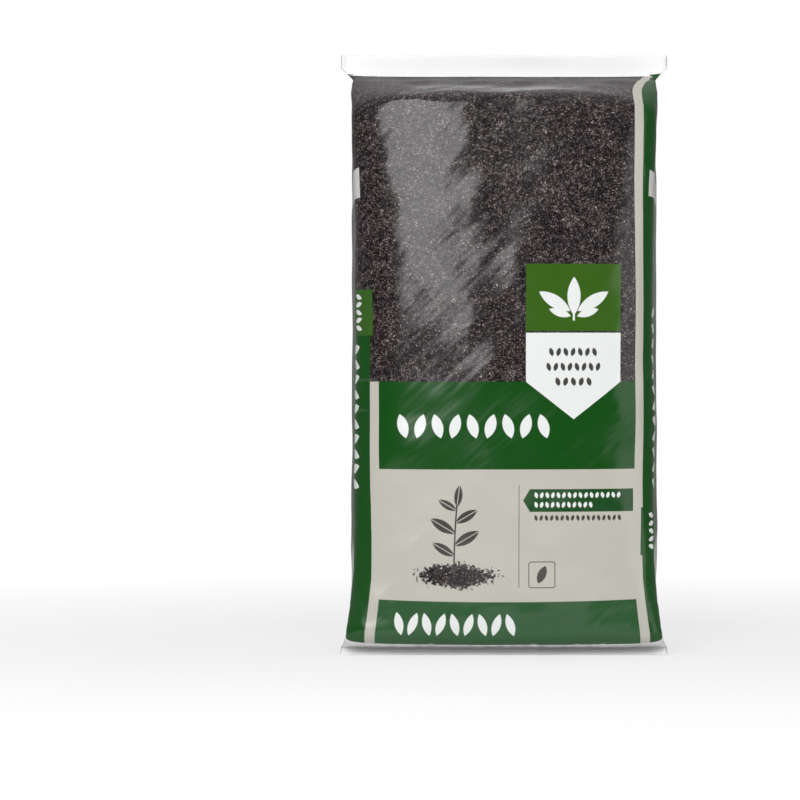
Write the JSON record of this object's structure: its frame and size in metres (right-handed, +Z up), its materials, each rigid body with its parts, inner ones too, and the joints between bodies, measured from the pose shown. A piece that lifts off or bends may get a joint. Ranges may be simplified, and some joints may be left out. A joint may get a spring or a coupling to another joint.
{
  "type": "compost bag",
  "caption": "Filled and heat-sealed polyethylene gusset bag of compost, standing upright on a flat base with a seal across its top and a folded seal under its front edge",
  "frame": {"origin": "centre of the bounding box's underside, on the floor that the bag stands on", "axes": "+Z up along the bag's height, the longest extent; +Y from the printed front to the back, the shortest extent; +X to the right as seen from the front"},
  "size_m": [0.384, 0.19, 0.7],
  "materials": {
    "printed_film": "printed polyethylene film with a satin gloss"
  },
  "bodies": {
    "root": {"filled_bag": "printed_film"}
  },
  "joints": []
}
